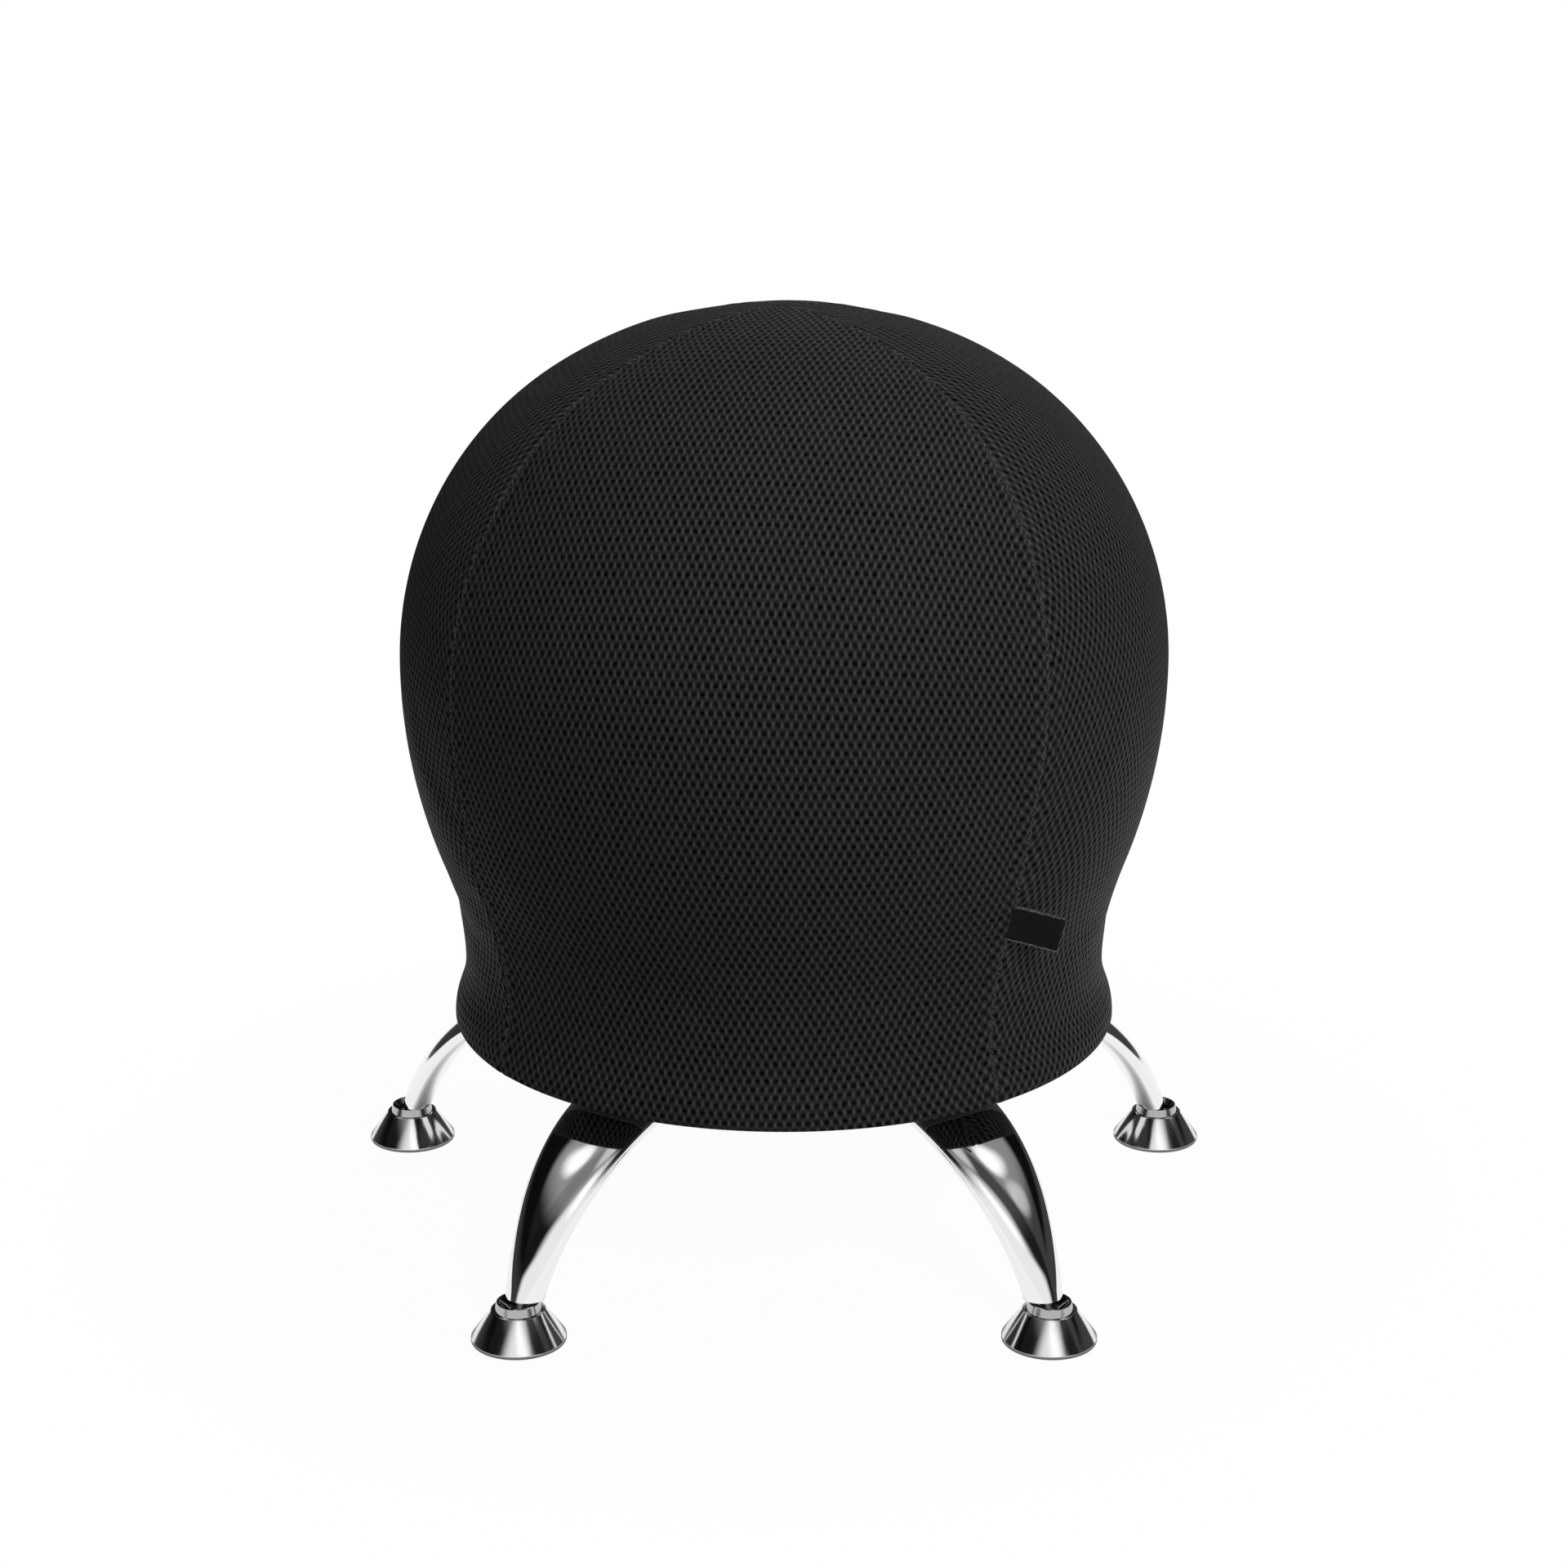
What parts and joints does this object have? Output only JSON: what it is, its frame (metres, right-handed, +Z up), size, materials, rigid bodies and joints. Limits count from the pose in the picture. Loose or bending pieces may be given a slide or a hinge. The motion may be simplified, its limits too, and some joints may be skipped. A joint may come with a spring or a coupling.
{
  "type": "ball stool",
  "caption": "Office stool: an inflated ball in a black mesh cover, cradled on a round base with curved chromed legs and conical swivelling feet.",
  "frame": {"origin": "middle of the footprint, on the floor that the feet stand on", "axes": "+Z up, -Y the front, +X to the viewer's right; one leg points straight back along +Y"},
  "size_m": [0.5636, 0.5388, 0.58],
  "materials": {
    "cover_mesh": "open black spacer mesh, soft matt sheen",
    "cover_binding": "close-woven black tape",
    "elastic": "woven-covered elastic",
    "label_cloth": "bare black woven ribbon",
    "ball_skin": "smooth grey vinyl, satin",
    "valve": "white moulded plastic",
    "board": "birch plywood, bare",
    "dish": "black moulded plastic, fine grain",
    "leg_chrome": "bright polished chrome",
    "foot_chrome": "bright polished chrome",
    "plate": "black powder coat",
    "fixings": "bright zinc",
    "plug": "black moulded plastic",
    "socket": "black moulded plastic, satin gloss",
    "glide": "dark hard-wearing glide plastic"
  },
  "bodies": {
    "stool": {"cover_gore_1": "cover_mesh", "cover_gore_2": "cover_mesh", "cover_gore_3": "cover_mesh", "cover_gore_4": "cover_mesh", "hem_casing": "cover_binding", "hem_elastic": "elastic", "seam_label": "label_cloth", "inflatable_ball": "ball_skin", "ball_valve": "valve", "base_board": "board", "ball_dish": "dish", "leg_bolts": "fixings", "tee_nuts": "fixings", "ball_studs": "fixings", "leg_1": "leg_chrome", "leg_plate_1": "plate", "stud_plug_1": "plug", "leg_2": "leg_chrome", "leg_plate_2": "plate", "stud_plug_2": "plug", "leg_3": "leg_chrome", "leg_plate_3": "plate", "stud_plug_3": "plug", "leg_4": "leg_chrome", "leg_plate_4": "plate", "stud_plug_4": "plug", "leg_5": "leg_chrome", "leg_plate_5": "plate", "stud_plug_5": "plug"},
    "valve_plug": {"valve_plug": "valve"},
    "socket_1": {"foot_socket_1": "socket"},
    "foot_1": {"foot_cap_1": "foot_chrome", "foot_pad_1": "glide"},
    "socket_2": {"foot_socket_2": "socket"},
    "foot_2": {"foot_cap_2": "foot_chrome", "foot_pad_2": "glide"},
    "socket_3": {"foot_socket_3": "socket"},
    "foot_3": {"foot_cap_3": "foot_chrome", "foot_pad_3": "glide"},
    "socket_4": {"foot_socket_4": "socket"},
    "foot_4": {"foot_cap_4": "foot_chrome", "foot_pad_4": "glide"},
    "socket_5": {"foot_socket_5": "socket"},
    "foot_5": {"foot_cap_5": "foot_chrome", "foot_pad_5": "glide"}
  },
  "joints": [
    {"name": "valve_plug_pull", "type": "slide", "parent": "stool", "child": "valve_plug", "axis": [0, 0, -1], "range_m": [0, 0.018]},
    {"name": "foot_tilt_1", "type": "hinge", "parent": "stool", "child": "socket_1", "pos_m": [0, 0.24114, 0.014], "axis": [-1, 0, 0], "range_deg": [-4, 4]},
    {"name": "foot_spin_1", "type": "hinge", "parent": "socket_1", "child": "foot_1", "pos_m": [0, 0.24114, 0.014], "axis": [0, 0, 1], "continuous": true},
    {"name": "foot_tilt_2", "type": "hinge", "parent": "stool", "child": "socket_2", "pos_m": [-0.25355, 0.05693, 0.014], "axis": [-0.309, -0.9511, 0], "range_deg": [-4, 4]},
    {"name": "foot_spin_2", "type": "hinge", "parent": "socket_2", "child": "foot_2", "pos_m": [-0.25355, 0.05693, 0.014], "axis": [0, 0, 1], "continuous": true},
    {"name": "foot_tilt_3", "type": "hinge", "parent": "stool", "child": "socket_3", "pos_m": [-0.1567, -0.24114, 0.014], "axis": [0.809, -0.5878, 0], "range_deg": [-4, 4]},
    {"name": "foot_spin_3", "type": "hinge", "parent": "socket_3", "child": "foot_3", "pos_m": [-0.1567, -0.24114, 0.014], "axis": [0, 0, 1], "continuous": true},
    {"name": "foot_tilt_4", "type": "hinge", "parent": "stool", "child": "socket_4", "pos_m": [0.1567, -0.24114, 0.014], "axis": [0.809, 0.5878, 0], "range_deg": [-4, 4]},
    {"name": "foot_spin_4", "type": "hinge", "parent": "socket_4", "child": "foot_4", "pos_m": [0.1567, -0.24114, 0.014], "axis": [0, 0, 1], "continuous": true},
    {"name": "foot_tilt_5", "type": "hinge", "parent": "stool", "child": "socket_5", "pos_m": [0.25355, 0.05693, 0.014], "axis": [-0.309, 0.9511, 0], "range_deg": [-4, 4]},
    {"name": "foot_spin_5", "type": "hinge", "parent": "socket_5", "child": "foot_5", "pos_m": [0.25355, 0.05693, 0.014], "axis": [0, 0, 1], "continuous": true}
  ]
}
